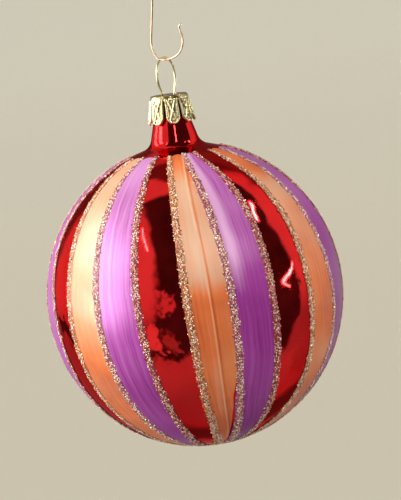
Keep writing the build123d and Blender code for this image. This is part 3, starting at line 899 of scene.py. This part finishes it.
def cap_mesh():
    # profile from the middle of the top, over the edge, to the end of the skirt
    top = fillet([(0.35, CAP_TOP), (CAP_R, CAP_TOP), (CAP_R + (CAP_TOP - TAB_END) * CAP_FLARE, TAB_END)], [0.62], 0.05)
    prof = [np.array([0.35, CAP_TOP])]
    for q in top[1:]:
        gap = np.linalg.norm(q - prof[-1])
        n = max(1, int(gap / 0.16))
        start = prof[-1]
        for k in range(1, n + 1):
            prof.append(start + (q - start) * k / n)
    prof = np.array(prof)
    tan = np.gradient(prof, axis=0)
    tan /= np.linalg.norm(tan, axis=1)[:, None]
    nrm = np.stack([-tan[:, 1], tan[:, 0]], -1)  # outward
    slit_top = CAP_TOP - 1.5
    skirt = prof[:, 1] < CAP_TOP - 0.45
    cols = 37
    u = np.linspace(-1, 1, cols)
    verts, groups, uvs, base = [], [], [], 0
    h = prof[:, 1]
    for tab in range(8):
        mid = 5.0 + 45.0 * tab
        gap = np.where((h < slit_top) & skirt, cap_gap(h), 0.0)
        half = 22.5 - np.degrees(np.arctan2(gap, prof[:, 0]))
        ang = mid + np.outer(half, u)
        U = np.broadcast_to(u, ang.shape)
        w = np.radians(half)[:, None] * prof[:, 0:1]  # half-width in mm
        x = U * w
        v = np.clip((CAP_TOP - 0.75 - h) / (CAP_TOP - 0.75 - TAB_END), 0, 1)[:, None] * np.ones_like(U)
        inner_edge = np.minimum((1 - np.abs(U)) * w, np.minimum(v, 1 - v) * 7.1)
        # relief: a raised border, an hourglass of two curved ribs and short cross ribs
        ridge = lambda d, s: np.exp(-(d / s) ** 2)
        border = ridge(inner_edge - 0.36, 0.19)
        waist = 2.5 * np.abs(v - 0.5)
        ribs = ridge(np.abs(x) - waist, 0.27) * (inner_edge > 0.3) + 0.8 * ridge(np.abs(x) - 1.2, 0.15) * (np.abs(v - 0.5) < 0.26)
        cross = ridge((v - 0.17) * 7.1, 0.2) * (np.abs(x) < 0.45) + ridge((v - 0.83) * 7.1, 0.2) * (np.abs(x) < 0.45)
        relief = np.clip(0.95 * border + ribs + 0.7 * cross, 0, 1.15)
        relief = relief * np.clip((v - 0.02) / 0.05, 0, 1) * skirt[:, None]
        d = 0.38 * relief - 0.12 * np.clip(v * 20, 0, 1) * skirt[:, None]
        # a little hand: each tab bends its own way
        g = np.random.default_rng(70 + tab)
        bend = g.uniform(-0.05, 0.14)
        d = d + bend * v**2 + g.uniform(-0.04, 0.04) * v * U
        r = prof[:, 0:1] + nrm[:, 0:1] * d
        z = prof[:, 1:2] + nrm[:, 1:2] * d
        a = np.radians(ang)
        verts.append(np.stack([r * np.sin(a), -r * np.cos(a), z + BALL_Z], -1).reshape(-1, 3))
        uvs.append(np.stack([(x / 10 + tab).ravel(), np.clip(relief, 0, 1).ravel()], -1))
        groups.append(grid_quads(len(prof), cols, flip=True, base=base))
        base += len(prof) * cols
    ob = mesh_object("cap_shell", np.vstack(verts), [np.vstack(groups)], True, [], uv=np.vstack(uvs))
    bm = bmesh.new()
    bm.from_mesh(ob.data)
    bmesh.ops.remove_doubles(bm, verts=bm.verts, dist=0.004 * MM)
    # close the small hole in the middle of the top
    ring = [e for e in bm.edges if e.is_boundary and all(math.hypot(*x.co.xy) < 0.5 * MM for x in e.verts)]
    bmesh.ops.contextual_create(bm, geom=ring)
    bm.normal_update()
    bm.to_mesh(ob.data)
    bm.free()
    ob.data.polygons.foreach_set("use_smooth", np.ones(len(ob.data.polygons), bool))
    return ob


def cap_material():
    n = Nodes("cap_gold")
    n.put(metal=0.88, rough=0.26, coat=0.15, coat_rough=0.1)
    u = n.new("ShaderNodeUVMap", uv_map="flow")
    sep = n.new("ShaderNodeSeparateXYZ")
    n.link(u.outputs["UV"], sep.inputs[0])
    obj = n.coords("Object")
    mottle = n.noise(obj, 520.0, 3.0, 0.5)
    tone = n.ramp(n.noise(obj, 260.0, 3.0), [(0.3, (0.88, 0.74, 0.36)), (0.7, (0.97, 0.87, 0.55))])
    # painted shade: the low parts without relief are painted darker in a mottled way, so that the raised ribs stand out
    low = n.remap(sep.outputs[1], 0.0, 0.55, 1.0, 0.0, smooth=True)
    low_relief_shade = n.math("MULTIPLY", low, n.remap(mottle, 0.35, 0.7, 0.50, 0.90))
    n.to(n.mix(low_relief_shade, tone, (0.20, 0.125, 0.035)), "Base Color")
    n.to(n.remap(mottle, 0.3, 0.7, 0.15, 0.36), "Roughness")
    n.to(n.bump(n.noise(obj, 1500.0, 2.0), 0.35, 0.00003), "Normal")
    return n.mat


cap_obj = cap_mesh()
cap_obj.data.materials.append(cap_material())
solid = cap_obj.modifiers.new("sheet", "SOLIDIFY")
solid.thickness = CAP_T * MM
solid.offset = -1.0
solid.use_even_offset = False


def slot_cutter():
    """Two slots through the top for the hanger's legs."""
    verts, groups, base = [], [], 0
    turn = math.radians(55.0)
    for side in (1, -1):
        ring = []
        for k in range(32):
            t = 2 * math.pi * k / 32
            ox = 0.4 if math.cos(t) >= 0 else -0.4
            x, y = side * 2.75 + ox + 0.6 * math.cos(t), 0.6 * math.sin(t)
            ring.append((x * math.cos(turn) - y * math.sin(turn), x * math.sin(turn) + y * math.cos(turn)))
        ring = np.array(ring)
        lo = np.c_[ring, np.full(32, BALL_Z + CAP_TOP - 1.0)]
        hi = np.c_[ring, np.full(32, BALL_Z + CAP_TOP + 1.0)]
        verts += [lo, hi]
        i = np.arange(32)
        groups.append(np.stack([base + i, base + (i + 1) % 32, base + 32 + (i + 1) % 32, base + 32 + i], -1))
        base += 64
    ob = mesh_object("cutter", np.vstack(verts), groups, False)
    bm = bmesh.new()
    bm.from_mesh(ob.data)
    bmesh.ops.holes_fill(bm, edges=[e for e in bm.edges if e.is_boundary], sides=0)
    bmesh.ops.recalc_face_normals(bm, faces=bm.faces)
    bm.to_mesh(ob.data)
    bm.free()
    return ob


cutter = slot_cutter()
cut = cap_obj.modifiers.new("slots", "BOOLEAN")
cut.operation, cut.object, cut.solver = "DIFFERENCE", cutter, "EXACT"
bpy.context.view_layer.update()
dg = bpy.context.evaluated_depsgraph_get()
made = bpy.data.meshes.new_from_object(cap_obj.evaluated_get(dg))
cap_obj.modifiers.clear()
cap_obj.data = made
bpy.data.objects.remove(cutter)
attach(cap_obj, "cap")
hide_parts("cap")


# ---------------------------------------------------------------------- wires
def wire_material(name, a, b, rough):
    n = Nodes(name)
    n.put(metal=1.0, rough=rough, aniso=0.4)
    obj = n.coords("Object")
    n.to(n.ramp(n.noise(obj, 420.0, 4.0, 0.6), [(0.3, a), (0.7, b)]), "Base Color")
    n.to(n.remap(n.noise(obj, 1500.0, 3.0), 0.3, 0.7, rough * 0.6, rough * 1.6), "Roughness")
    n.to(n.bump(n.noise(obj, 3000.0, 2.0), 0.4, 0.00001), "Normal")
    return n.mat


def dress(node, mat):
    me = nodes[node].data
    me.materials.clear()
    me.materials.append(mat)


dress("hanger_wire", wire_material("hanger_gold_wire", (0.78, 0.62, 0.30), (0.92, 0.82, 0.52), 0.20))
dress("hook", wire_material("hook_copper_wire", (0.62, 0.36, 0.22), (0.82, 0.62, 0.42), 0.24))

# ------------------------------------------------------------ glass and silver
gn = Nodes("clear_glass")
gn.put(base=(0.96, 0.98, 0.97), rough=0.02, trans=1.0, ior=1.5)
gn.to(gn.bump(gn.noise(gn.coords("Object"), 180.0, 2.0), 0.6, 0.00004), "Normal")
dress("glass_ball", gn.mat)
sn = Nodes("silver_mirror")
sn.put(metal=1.0, rough=0.08)
sn.to(sn.ramp(sn.noise(sn.coords("Object"), 150.0, 4.0), [(0.3, (0.80, 0.79, 0.76)), (0.7, (0.93, 0.92, 0.90))]), "Base Color")
dress("silver_lining", sn.mat)

# ------------------------------------------------------------------------ end
model = bpy.data.collections.new("model")
for ob in scene.objects:
    if ob.type == "MESH" and ob.name != "stage_floor":
        model.objects.link(ob)
for lamp in (key_front, key_rear, strip_middle, top):
    lamp.light_linking.receiver_collection = model
